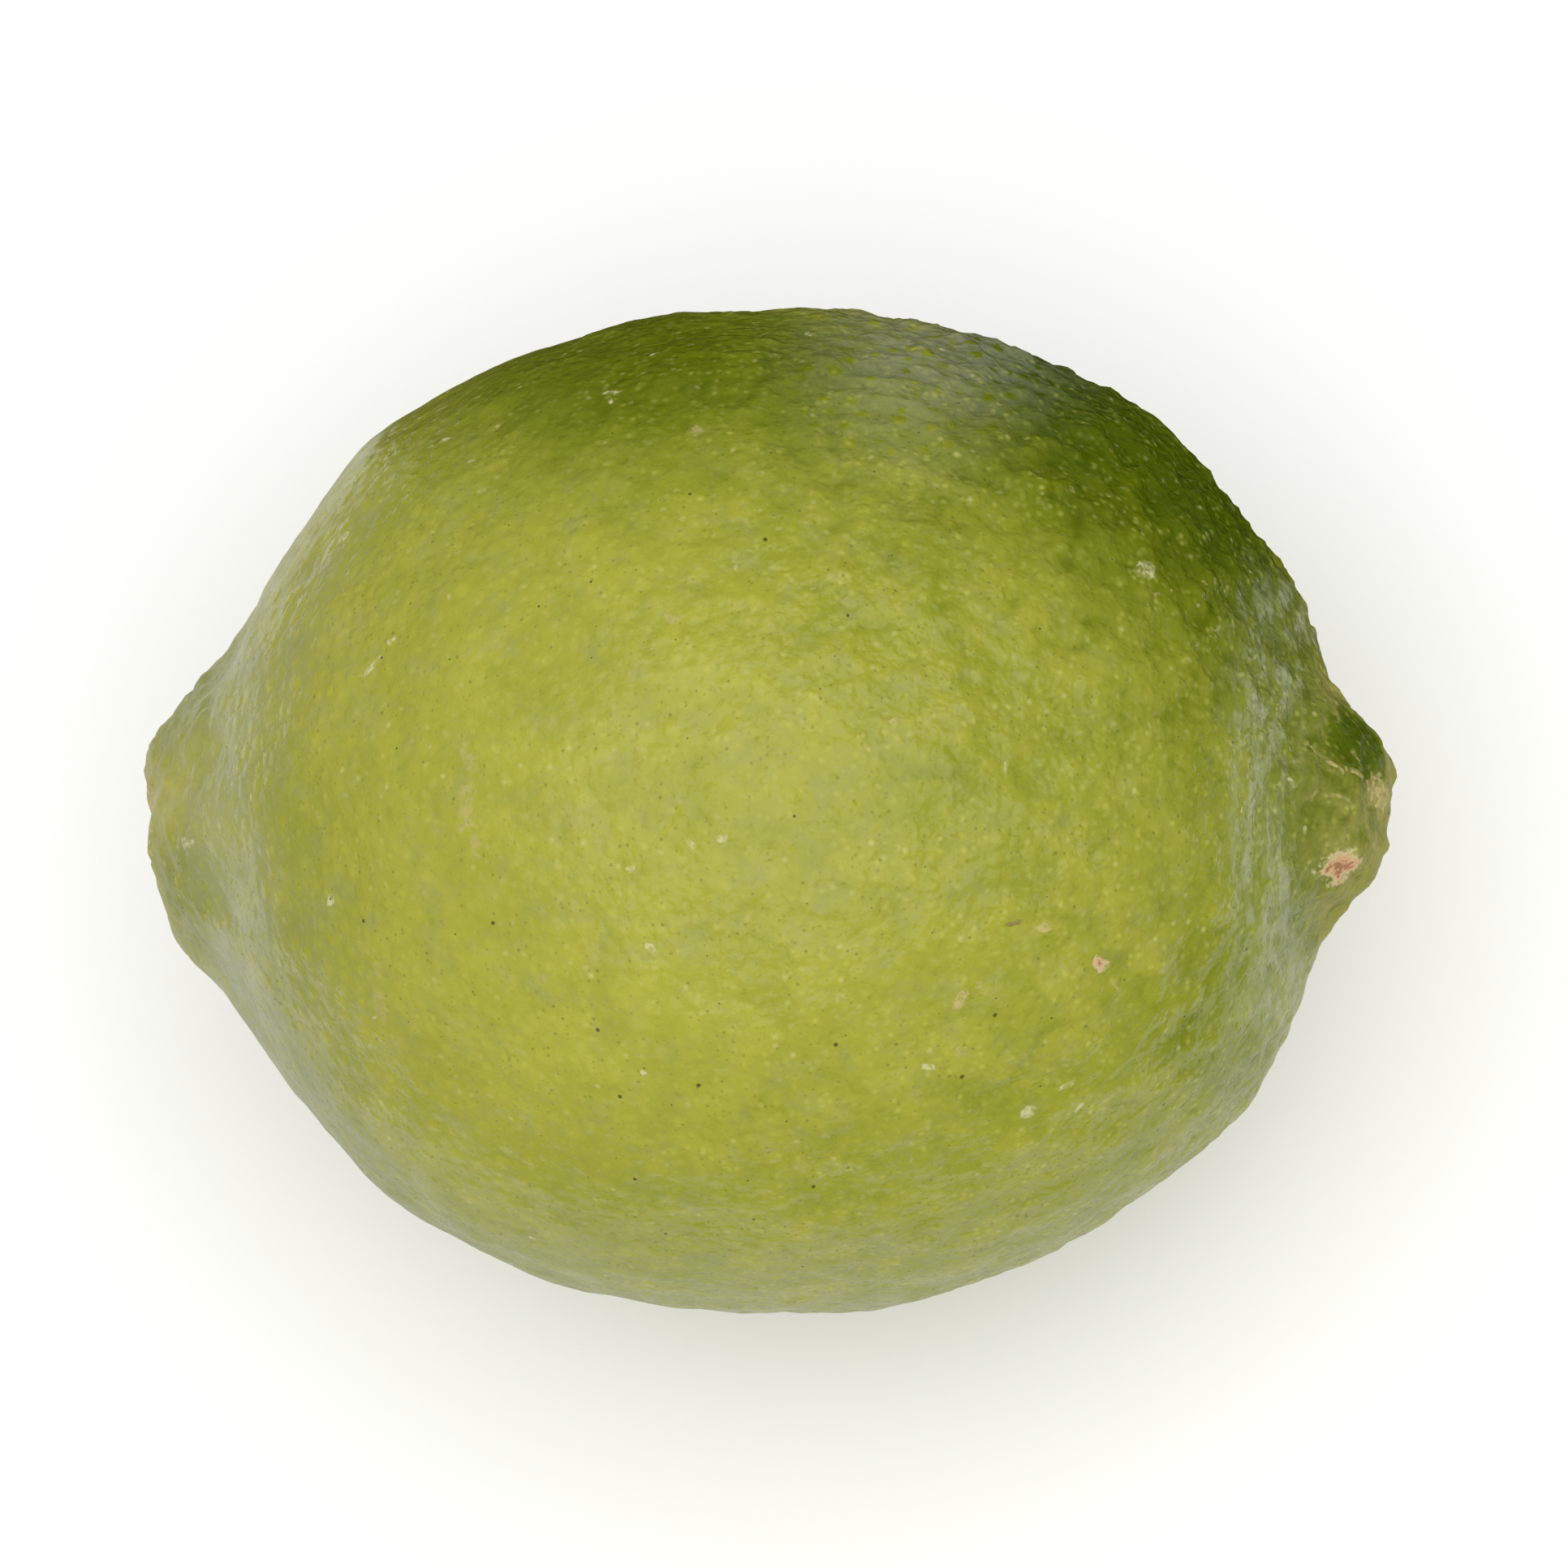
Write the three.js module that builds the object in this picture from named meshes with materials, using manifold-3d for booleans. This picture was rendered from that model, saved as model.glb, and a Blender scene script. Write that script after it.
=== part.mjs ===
// A lime lying on its side: one solid fruit, with a broad nose at the stem end and a narrow nipple at the
// blossom end. Millimetres, +Z up. +X runs along the fruit towards its blossom end. The origin is in the
// middle of the fruit's footprint, on the surface that it lies on.
import * as THREE from "three";
import { mergeVertices } from "three/addons/utils/BufferGeometryUtils.js";
import Module from "manifold-3d";

// ---- Driving dimensions ----

const GIRTH_RADIUS = 26; // half of the thickest cross-section, which is close to round
const BLOSSOM_REACH = 29.3; // from the thickest section to the blossom end, without the nipple
const STEM_REACH = 28.6; // from the thickest section to the stem end, without the nose
const BLOSSOM_FULLNESS = 2.1; // 2 is an ellipse, and more gives squarer shoulders
const STEM_FULLNESS = 2.15;

const FLAT_DEPTH = 0.4; // how deep the resting spot is pressed into the round belly

// A knob that stands out of an end. Spread is its half-width in degrees as seen from the middle of the fruit.
// A steepness of 2 is a bell, and more gives a flatter top with steeper sides.
const NIPPLE = { towards: [1, -0.022, 0.12], rise: 2.8, spread: 10.1, steepness: 3.8 };
const NOSE = { towards: [-1, -0.04, 0.06], rise: 3.5, spread: 15.7, steepness: 2.9 };

// The round scar where the stem broke off, a little above the nose's middle: a dish with a raised rim.
const STEM_SCAR = {
  towards: [-1, -0.045, 0.087],
  dish: { radius: 1.3, depth: 0.6 },
  rim: { radius: 2.0, width: 0.6, rise: 0.3 },
};

// The scab that the style left on the tip of the nipple.
const STYLE_SCAR = { radius: 0.9, rise: 0.16 };

// Furrows that run down the side of each knob and fade out on the shoulder of the fruit.
// Their depth is greatest at this many degrees from the middle of the knob.
const NOSE_FURROWS = { count: 9, depth: 0.22, at: 18, width: 7, turned: 0.4 };
const NIPPLE_FURROWS = { count: 7, depth: 0.16, at: 12, width: 5, turned: 1.1 };

// Swellings and hollows that keep the fruit from being a turned shape. Place is in degrees: from the blossom
// end, and around the fruit from its +Y side over the top. Spread is in degrees, and rise in millimetres.
const SWELLINGS = [
  // the two lobes of the nipple's tip, and the cleft between them
  { fromBlossomEnd: 4, around: 15, spread: 2.5, rise: 0.85 },
  { fromBlossomEnd: 1.8, around: 195, spread: 1.8, rise: -0.5 },
  { fromBlossomEnd: 8, around: 195, spread: 3, rise: 0.35 },
  // the two lips of the nose, either side of the stem scar
  { fromBlossomEnd: 174, around: 15, spread: 5, rise: 1.45 },
  { fromBlossomEnd: 179, around: 195, spread: 1.8, rise: -0.3 },
  { fromBlossomEnd: 167, around: 195, spread: 5, rise: 1.15 },
  // the +Y flank, from the blossom end to the stem end
  { fromBlossomEnd: 21, around: 15, spread: 9, rise: 0.4 },
  { fromBlossomEnd: 48, around: 15, spread: 12, rise: 0.25 },
  { fromBlossomEnd: 82, around: 15, spread: 6, rise: 0.18 },
  { fromBlossomEnd: 118, around: 15, spread: 9, rise: -0.3 },
  { fromBlossomEnd: 137, around: 15, spread: 8, rise: 0.71 },
  { fromBlossomEnd: 161, around: 15, spread: 5, rise: -0.3 },
  // the -Y flank, from the stem end to the blossom end
  { fromBlossomEnd: 154, around: 195, spread: 8, rise: 0.75 },
  { fromBlossomEnd: 142, around: 195, spread: 4, rise: -0.2 },
  { fromBlossomEnd: 132, around: 195, spread: 12, rise: 0.31 },
  { fromBlossomEnd: 51, around: 195, spread: 11, rise: -0.43 },
  { fromBlossomEnd: 30, around: 195, spread: 7, rise: 0.36 },
  { fromBlossomEnd: 19, around: 195, spread: 7, rise: -0.21 },
  // the top and the underside
  { fromBlossomEnd: 35, around: 105, spread: 14, rise: 0.2 },
  { fromBlossomEnd: 70, around: 60, spread: 16, rise: -0.15 },
  { fromBlossomEnd: 125, around: 100, spread: 16, rise: -0.2 },
  { fromBlossomEnd: 60, around: 320, spread: 18, rise: 0.2 },
  { fromBlossomEnd: 110, around: 245, spread: 18, rise: 0.18 },
];

// Shallow rumples all over the rind: crossed waves of this length, with this much height between them.
const RUMPLE = { waves: 14, length: 7.5, height: 0.09 };

// Facets: columns run along the fruit, and rows around it. Rows crowd towards the ends, where the knobs are:
// 0 spaces them evenly, and a crowding of 1 would close them up at the ends.
const COLUMNS = 72;
const ROWS = 68;
const CROWDING = 0.62;

const RIND = new THREE.MeshStandardMaterial({ name: "rind", color: 0xa3a83c, roughness: 0.42, metalness: 0 });

// ---- The surface, as a distance from the middle of the fruit in each direction ----

const GOLDEN_ANGLE = Math.PI * (3 - Math.sqrt(5));
const radians = THREE.MathUtils.degToRad;

function bell(distance, width, steepness = 2) {
  return Math.exp(-Math.pow(Math.abs(distance) / width, steepness));
}

// The smooth egg-like body, without its knobs.
function bodyRadius(direction) {
  const along = Math.abs(direction.x);
  const across = Math.sqrt(Math.max(0, 1 - along * along));
  const reach = direction.x > 0 ? BLOSSOM_REACH : STEM_REACH;
  const fullness = direction.x > 0 ? BLOSSOM_FULLNESS : STEM_FULLNESS;
  const sum = Math.pow(along / reach, fullness) + Math.pow(across / GIRTH_RADIUS, fullness);
  return Math.pow(sum, -1 / fullness);
}

// A knob's own axis and two directions across it, which its furrows are counted around.
function knobFrame({ towards }) {
  const axis = new THREE.Vector3(...towards).normalize();
  const side = new THREE.Vector3(0, 0, 1).cross(axis).normalize();
  return { axis, side, upright: axis.clone().cross(side) };
}

const noseFrame = knobFrame(NOSE);
const nippleFrame = knobFrame(NIPPLE);
const stemScarFrame = knobFrame(STEM_SCAR);

function knobRise(knob, frame, furrows, direction) {
  const away = THREE.MathUtils.radToDeg(direction.angleTo(frame.axis));
  const turn = Math.atan2(direction.dot(frame.upright), direction.dot(frame.side));
  const furrow = furrows.depth * Math.cos(furrows.count * turn + furrows.turned);
  const fade = bell(away - furrows.at, furrows.width);
  return knob.rise * bell(away, knob.spread, knob.steepness) + furrow * fade;
}

function stemScarRise(direction) {
  const { dish, rim } = STEM_SCAR;
  const away = direction.angleTo(stemScarFrame.axis) * (STEM_REACH + NOSE.rise);
  return rim.rise * bell(away - rim.radius, rim.width) - dish.depth * bell(away, dish.radius, 4);
}

function styleScarRise(direction) {
  const reach = BLOSSOM_REACH + NIPPLE.rise;
  return STYLE_SCAR.rise * bell(direction.angleTo(nippleFrame.axis) * reach, STYLE_SCAR.radius, 4);
}

const swellings = SWELLINGS.map(({ fromBlossomEnd, around, spread, rise }) => ({
  middle: new THREE.Vector3(
    Math.cos(radians(fromBlossomEnd)),
    Math.sin(radians(fromBlossomEnd)) * Math.cos(radians(around)),
    Math.sin(radians(fromBlossomEnd)) * Math.sin(radians(around)),
  ),
  spread: radians(spread),
  rise,
}));

function swellingRise(direction) {
  const rises = swellings.map(({ middle, spread, rise }) => rise * bell(direction.angleTo(middle), spread));
  return rises.reduce((sum, rise) => sum + rise);
}

// The waves run in directions spread evenly over a sphere, each with its own phase.
const rumpleWaves = Array.from({ length: RUMPLE.waves }, (_, i) => {
  const height = 1 - (2 * i + 1) / RUMPLE.waves;
  const flat = Math.sqrt(1 - height * height);
  return {
    along: new THREE.Vector3(flat * Math.cos(GOLDEN_ANGLE * i), flat * Math.sin(GOLDEN_ANGLE * i), height),
    phase: i * i,
  };
});

function rumpleRise(point) {
  const turns = (2 * Math.PI) / RUMPLE.length;
  const heights = rumpleWaves.map(({ along, phase }) => Math.sin(point.dot(along) * turns + phase));
  return (RUMPLE.height * heights.reduce((sum, height) => sum + height)) / Math.sqrt(RUMPLE.waves);
}

function surfacePoint(direction) {
  const smooth =
    bodyRadius(direction) +
    knobRise(NIPPLE, nippleFrame, NIPPLE_FURROWS, direction) +
    knobRise(NOSE, noseFrame, NOSE_FURROWS, direction) +
    stemScarRise(direction) +
    styleScarRise(direction) +
    swellingRise(direction);
  const rumple = rumpleRise(direction.clone().multiplyScalar(smooth));
  return direction.clone().multiplyScalar(smooth + rumple);
}

// ---- The solid ----

// A sphere's points, with its poles at the fruit's ends, crowded towards them and moved to the surface.
function fruitGeometry() {
  const geometry = new THREE.SphereGeometry(1, COLUMNS, ROWS);
  geometry.rotateZ(-Math.PI / 2);
  const points = geometry.getAttribute("position");
  const direction = new THREE.Vector3();
  for (let i = 0; i < points.count; i++) {
    direction.fromBufferAttribute(points, i).normalize();
    const even = Math.acos(THREE.MathUtils.clamp(direction.x, -1, 1));
    const crowded = even - (CROWDING * Math.sin(2 * even)) / 2;
    const turn = Math.atan2(direction.z, direction.y);
    const across = Math.sin(crowded);
    direction.set(Math.cos(crowded), across * Math.cos(turn), across * Math.sin(turn));
    points.setXYZ(i, ...surfacePoint(direction));
  }
  return geometry;
}

const wasm = await Module();
wasm.setup();

// Joining the points along the seams needs the normals and texture coordinates gone, which differ there.
function solidFrom(geometry) {
  geometry.deleteAttribute("normal");
  geometry.deleteAttribute("uv");
  const closed = mergeVertices(geometry, 1e-4);
  const vertProperties = new Float32Array(closed.getAttribute("position").array);
  const triVerts = new Uint32Array(closed.index.array);
  return new wasm.Manifold(new wasm.Mesh({ numProp: 3, vertProperties, triVerts }));
}

function geometryFrom(solid) {
  const mesh = solid.getMesh();
  return new THREE.BufferGeometry()
    .setAttribute("position", new THREE.BufferAttribute(mesh.vertProperties, 3))
    .setIndex(new THREE.BufferAttribute(mesh.triVerts, 1));
}

// Cuts the resting spot across the underside of the fruit.
function withRestingSpot(geometry) {
  const margin = 2 * GIRTH_RADIUS;
  const table = new THREE.BoxGeometry(2 * margin, 2 * margin, margin);
  table.translate(0, 0, FLAT_DEPTH - GIRTH_RADIUS - margin / 2);
  return geometryFrom(solidFrom(geometry).subtract(solidFrom(table)));
}

// Puts the middle of the footprint at the origin, with the resting spot on the surface below.
function standOnOrigin(geometry) {
  geometry.computeBoundingBox();
  const { min, max } = geometry.boundingBox;
  geometry.translate(-(min.x + max.x) / 2, -(min.y + max.y) / 2, -min.z);
  geometry.computeVertexNormals();
  return geometry;
}

const lime = new THREE.Mesh(standOnOrigin(withRestingSpot(fruitGeometry())), RIND);
lime.name = "lime";

const part = new THREE.Group();
part.add(lime);

export default part;
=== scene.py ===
"""A whole lime on a pale floor: one rind with its glands, marks and colours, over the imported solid.

The rind is a dense closed skin that follows the same formula as the solid. Lengths in the classes are
millimetres, and places on the fruit are two angles in degrees: from the blossom end, and around the
fruit from its +Y side over the top. Meshes are in metres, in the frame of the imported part.
"""

from __future__ import annotations

import logging
import math
from collections.abc import Callable
from dataclasses import dataclass, field
from enum import Enum
from functools import partial

import bmesh
import bpy
import numpy as np
from mathutils import Matrix, Vector, noise
from mathutils.kdtree import KDTree

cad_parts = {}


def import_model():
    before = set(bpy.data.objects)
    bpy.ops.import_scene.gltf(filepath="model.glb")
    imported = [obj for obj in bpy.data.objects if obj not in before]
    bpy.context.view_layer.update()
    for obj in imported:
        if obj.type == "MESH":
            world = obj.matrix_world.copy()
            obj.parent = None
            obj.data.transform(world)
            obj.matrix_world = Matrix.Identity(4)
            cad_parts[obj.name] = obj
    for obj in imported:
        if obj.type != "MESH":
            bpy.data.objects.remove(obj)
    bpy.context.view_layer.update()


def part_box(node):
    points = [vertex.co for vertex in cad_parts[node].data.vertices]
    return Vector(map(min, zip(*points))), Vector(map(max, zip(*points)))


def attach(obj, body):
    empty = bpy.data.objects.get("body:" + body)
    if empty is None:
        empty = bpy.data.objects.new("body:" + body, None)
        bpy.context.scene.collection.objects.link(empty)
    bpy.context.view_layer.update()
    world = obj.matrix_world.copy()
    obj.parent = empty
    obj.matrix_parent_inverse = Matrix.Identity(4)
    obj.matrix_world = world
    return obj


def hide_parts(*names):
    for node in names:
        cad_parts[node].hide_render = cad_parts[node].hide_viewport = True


LOG = logging.getLogger("lime")
MM = 0.001
GOLDEN_ANGLE = math.pi * (3 - math.sqrt(5))


# ---- Small tools ----


def linear(hex_colour: str, alpha: float = 1.0) -> tuple[float, float, float, float]:
    """Turns an sRGB hex colour into the linear one that shaders work in.

    Args:
        hex_colour: Six hex digits, with or without a leading hash.
        alpha: The fourth channel.

    Returns:
        Red, green, blue and alpha.
    """
    digits = hex_colour.lstrip("#")
    parts = [int(digits[i : i + 2], 16) / 255 for i in (0, 2, 4)]
    red, green, blue = (c / 12.92 if c <= 0.04045 else ((c + 0.055) / 1.055) ** 2.4 for c in parts)
    return red, green, blue, alpha


def bell(distance: np.ndarray, width: float, steepness: float = 2.0) -> np.ndarray:
    """A bump: 1 in the middle and a third at its width. A steepness of 2 is a bell, and more is steeper."""
    return np.exp(-((np.abs(distance) / width) ** steepness))


def place(from_blossom: float, around: float) -> np.ndarray:
    """The direction, from the middle of the fruit, of a place that is given by its two angles in degrees."""
    out, turn = math.radians(from_blossom), math.radians(around)
    return np.array([math.cos(out), math.sin(out) * math.cos(turn), math.sin(out) * math.sin(turn)])


def unit(vectors: np.ndarray) -> np.ndarray:
    """Scales vectors to a length of 1."""
    return vectors / np.linalg.norm(vectors, axis=-1, keepdims=True)


def angle_between(directions: np.ndarray, axis: np.ndarray) -> np.ndarray:
    """The angle in radians of each unit vector from an axis."""
    return np.arccos(np.clip(directions @ axis, -1, 1))


def add_node(
    tree: bpy.types.NodeTree,
    kind: str,
    inputs: dict[str | int, object] | None = None,
    output: str = "",
    **settings: object,
) -> bpy.types.NodeSocket | None:
    """Adds a node with its settings, values and links.

    Args:
        tree: The node tree that it joins.
        kind: The node's Blender type, such as ShaderNodeMath.
        inputs: By the name or number of an input, the value that it takes or the output that feeds it.
        output: The name of the output to hand back, where it isn't the first that is in use.
        settings: Properties of the node. A ramp is given as (place, colour) pairs.

    Returns:
        The node's output, if it has one.
    """
    node = tree.nodes.new(kind)
    for name, value in settings.items():
        if name == "ramp":
            elements = node.color_ramp.elements
            while len(elements) < len(value):
                elements.new(0.5)
            for element, (position, colour) in zip(elements, value):
                element.position = position
                element.color = colour
        else:
            setattr(node, name, value)
    for name, value in (inputs or {}).items():
        in_use = [socket for socket in node.inputs if socket.enabled and socket.name == name]
        socket = in_use[0] if in_use else node.inputs[name]
        if isinstance(value, bpy.types.NodeSocket):
            tree.links.new(value, socket)
        else:
            socket.default_value = value
    if output:
        return node.outputs[output]
    return next((socket for socket in node.outputs if socket.enabled), None)


def start_material(name: str) -> tuple[bpy.types.Material, Callable[..., bpy.types.NodeSocket | None]]:
    """Starts a material that has no nodes yet.

    Args:
        name: What the real material is, and how its surface was made.

    Returns:
        The material, and add_node for its own tree.
    """
    material = bpy.data.materials.new(name)
    material.use_nodes = True
    material.node_tree.nodes.clear()
    return material, partial(add_node, material.node_tree)


def set_out(work: bmesh.types.BMesh, name: str, material: bpy.types.Material) -> bpy.types.Object:
    """Turns a finished bmesh into an object in the scene, at the origin.

    Args:
        work: The bmesh, which is freed.
        name: The name of the mesh and of the object.
        material: What the object is made of.

    Returns:
        The object.
    """
    mesh = bpy.data.meshes.new(name)
    work.to_mesh(mesh)
    work.free()
    mesh.materials.append(material)
    made = bpy.data.objects.new(name, mesh)
    bpy.context.scene.collection.objects.link(made)
    return made


def show_to_gloss_alone(piece: bpy.types.Object) -> None:
    """Hides a piece from the camera and from matt surfaces, so that only glossy ones mirror it.

    Args:
        piece: The piece to hide.
    """
    piece.visible_camera = False
    piece.visible_diffuse = False
    piece.visible_shadow = False


# ---- The fruit's form ----


@dataclass(frozen=True)
class Furrows:
    """Furrows down the side of a knob, which fade out on the shoulder of the fruit.

    They are deepest at this many degrees from the middle of the knob, and turned, in radians, swings them
    around it.
    """

    count: int
    depth: float
    at: float
    width: float
    turned: float


@dataclass(frozen=True)
class Knob:
    """A knob that stands out of an end of the fruit.

    Spread is its half-width in degrees. A steepness of 2 is a bell, and more gives a flatter top.
    """

    towards: tuple[float, float, float]
    rise: float
    spread: float
    steepness: float
    furrows: Furrows

    def axis(self) -> np.ndarray:
        """The direction of the knob's middle."""
        return unit(np.array(self.towards))

    def height(self, directions: np.ndarray) -> np.ndarray:
        """How far the knob lifts the surface.

        Args:
            directions: Unit vectors from the middle of the fruit.

        Returns:
            Millimetres, one for each direction.
        """
        axis = self.axis()
        side = unit(np.cross([0, 0, 1], axis))
        upright = np.cross(axis, side)
        away = np.degrees(angle_between(directions, axis))
        turn = np.arctan2(directions @ upright, directions @ side)
        furrow = self.furrows.depth * np.cos(self.furrows.count * turn + self.furrows.turned)
        fade = bell(away - self.furrows.at, self.furrows.width)
        return self.rise * bell(away, self.spread, self.steepness) + furrow * fade


@dataclass(frozen=True)
class Swelling:
    """A broad rise, or a hollow where rise is below zero. Spread is in degrees."""

    from_blossom: float
    around: float
    spread: float
    rise: float

    def height(self, directions: np.ndarray) -> np.ndarray:
        """How far it lifts the surface, in millimetres, in each direction."""
        away = angle_between(directions, place(self.from_blossom, self.around))
        return self.rise * bell(away, math.radians(self.spread))


SWELLINGS: tuple[Swelling, ...] = (
    # the two lobes of the nipple's tip, and the cleft between them
    Swelling(4, 15, 2.5, 0.85),
    Swelling(1.8, 195, 1.8, -0.5),
    Swelling(8, 195, 3, 0.35),
    # the two lips of the nose, either side of the stem scar
    Swelling(174, 15, 5, 1.45),
    Swelling(179, 195, 1.8, -0.3),
    Swelling(167, 195, 5, 1.15),
    # the +Y flank, from the blossom end to the stem end
    Swelling(21, 15, 9, 0.4),
    Swelling(48, 15, 12, 0.25),
    Swelling(82, 15, 6, 0.18),
    Swelling(118, 15, 9, -0.3),
    Swelling(137, 15, 8, 0.71),
    Swelling(161, 15, 5, -0.3),
    # the -Y flank, from the stem end to the blossom end
    Swelling(154, 195, 8, 0.75),
    Swelling(142, 195, 4, -0.2),
    Swelling(132, 195, 12, 0.31),
    Swelling(51, 195, 11, -0.43),
    Swelling(30, 195, 7, 0.36),
    Swelling(19, 195, 7, -0.21),
    # the top and the underside
    Swelling(35, 105, 14, 0.2),
    Swelling(70, 60, 16, -0.15),
    Swelling(125, 100, 16, -0.2),
    Swelling(60, 320, 18, 0.2),
    Swelling(110, 245, 18, 0.18),
)


@dataclass(frozen=True)
class FruitForm:
    """The fruit's surface, as a distance from its middle in each direction.

    A reach is the distance from the thickest section to an end, without its knob. A fullness of 2 is an
    ellipse, and more gives squarer shoulders. The stem scar is a dish with a raised rim around it, the style
    scar a low scab on the nipple, and the rumples are crossed waves that run evenly in all directions.
    """

    girth_radius: float = 26.0
    blossom_reach: float = 29.3
    stem_reach: float = 28.6
    blossom_fullness: float = 2.1
    stem_fullness: float = 2.15
    flat_depth: float = 0.4
    nipple: Knob = Knob((1, -0.022, 0.12), 2.8, 10.1, 3.8, Furrows(7, 0.16, 12, 5, 1.1))
    nose: Knob = Knob((-1, -0.04, 0.06), 3.5, 15.7, 2.9, Furrows(9, 0.22, 18, 7, 0.4))
    stem_scar: tuple[float, float, float] = (-1, -0.045, 0.087)
    dish_radius: float = 1.3
    dish_depth: float = 0.6
    rim_radius: float = 2.0
    rim_width: float = 0.6
    rim_rise: float = 0.3
    style_radius: float = 0.9
    style_rise: float = 0.16
    swellings: tuple[Swelling, ...] = SWELLINGS
    rumple_waves: int = 14
    rumple_length: float = 7.5
    rumple_height: float = 0.09

    def smooth(self, directions: np.ndarray) -> np.ndarray:
        """The distance without the rumples.

        Args:
            directions: Unit vectors from the middle of the fruit.

        Returns:
            Millimetres, one for each direction.
        """
        along = np.abs(directions[:, 0])
        across = np.sqrt(np.maximum(0, 1 - along * along))
        blossom = directions[:, 0] > 0
        reach = np.where(blossom, self.blossom_reach, self.stem_reach)
        fullness = np.where(blossom, self.blossom_fullness, self.stem_fullness)
        distance = ((along / reach) ** fullness + (across / self.girth_radius) ** fullness) ** (-1 / fullness)
        distance += self.nipple.height(directions) + self.nose.height(directions)
        away = angle_between(directions, unit(np.array(self.stem_scar))) * (self.stem_reach + self.nose.rise)
        distance += self.rim_rise * bell(away - self.rim_radius, self.rim_width)
        distance -= self.dish_depth * bell(away, self.dish_radius, 4)
        away = angle_between(directions, self.nipple.axis()) * (self.blossom_reach + self.nipple.rise)
        distance += self.style_rise * bell(away, self.style_radius, 4)
        return distance + sum(swelling.height(directions) for swelling in self.swellings)

    def rumples(self, points: np.ndarray) -> np.ndarray:
        """How far the shallow rumples lift the surface.

        Args:
            points: Places about the middle of the fruit, in millimetres.

        Returns:
            Millimetres, one for each point.
        """
        total = np.zeros(len(points))
        for i in range(self.rumple_waves):
            height = 1 - (2 * i + 1) / self.rumple_waves
            flat = math.sqrt(1 - height * height)
            along = np.array([flat * math.cos(GOLDEN_ANGLE * i), flat * math.sin(GOLDEN_ANGLE * i), height])
            phase = i * i
            total += np.sin(points @ along * 2 * math.pi / self.rumple_length + phase)
        return self.rumple_height * total / math.sqrt(self.rumple_waves)

    def points(self, directions: np.ndarray) -> np.ndarray:
        """The surface in each direction.

        Args:
            directions: Unit vectors from the middle of the fruit.

        Returns:
            Points in millimetres about the middle of the fruit.
        """
        smooth = self.smooth(directions)
        distance = smooth + self.rumples(directions * smooth[:, None])
        return directions * distance[:, None]


# ---- What covers the fruit ----


@dataclass(frozen=True)
class Blotch:
    """A broad patch that is greener than the rest, or riper where green is below zero.

    Along and across are its half-widths in degrees, towards the blossom end and around the fruit, and turned,
    in degrees, swings both about its middle. A steepness of 2 is a bell, and more gives it a sharper edge.
    A patch of bloom, which carries painted sheen too, or of dry skin is given in the same way, with green as
    how thick or how dry it is.
    """

    from_blossom: float
    around: float
    along: float
    across: float
    green: float
    turned: float = 0.0
    steepness: float = 2.0

    def strength(self, directions: np.ndarray) -> np.ndarray:
        """How much of it lies in each direction.

        Args:
            directions: Unit vectors from the middle of the fruit.

        Returns:
            Its green, faded out with the distance from its middle.
        """
        middle = place(self.from_blossom, self.around)
        right, up = tangents(middle)
        turn = math.radians(self.turned)
        away = np.degrees(angle_between(directions, middle))
        u, v = directions @ right, directions @ up
        reach = np.maximum(np.hypot(u, v), 1e-9)
        u, v = away * u / reach, away * v / reach
        a = (u * math.cos(turn) + v * math.sin(turn)) / self.along
        b = (v * math.cos(turn) - u * math.sin(turn)) / self.across
        return self.green * bell(np.hypot(a, b), 1.0, self.steepness)


def tangents(direction: np.ndarray) -> tuple[np.ndarray, np.ndarray]:
    """Two directions along the surface: towards the blossom end, and to its left as seen from outside."""
    towards = unit(np.array([1.0, 0, 0]) - direction * direction[0])
    return towards, np.cross(direction, towards)


class MarkKind(Enum):
    """What a mark on the rind is made of, as the number its faces carry: a place along the ramp of kinds."""

    PALE_WAX = 0.0
    LACE = 0.25
    TAN_CORK = 0.5
    BROWN_CORK = 0.75
    PINK_CORK = 1.0


@dataclass(frozen=True)
class Mark:
    """A healed graze on the rind: a patch of cork or scuffed wax.

    Length and width are millimetres. Its length points to the blossom end, and turned, in degrees, swings
    that to the left.
    """

    from_blossom: float
    around: float
    length: float
    width: float
    turned: float = 0.0
    kind: MarkKind = MarkKind.TAN_CORK


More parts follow.
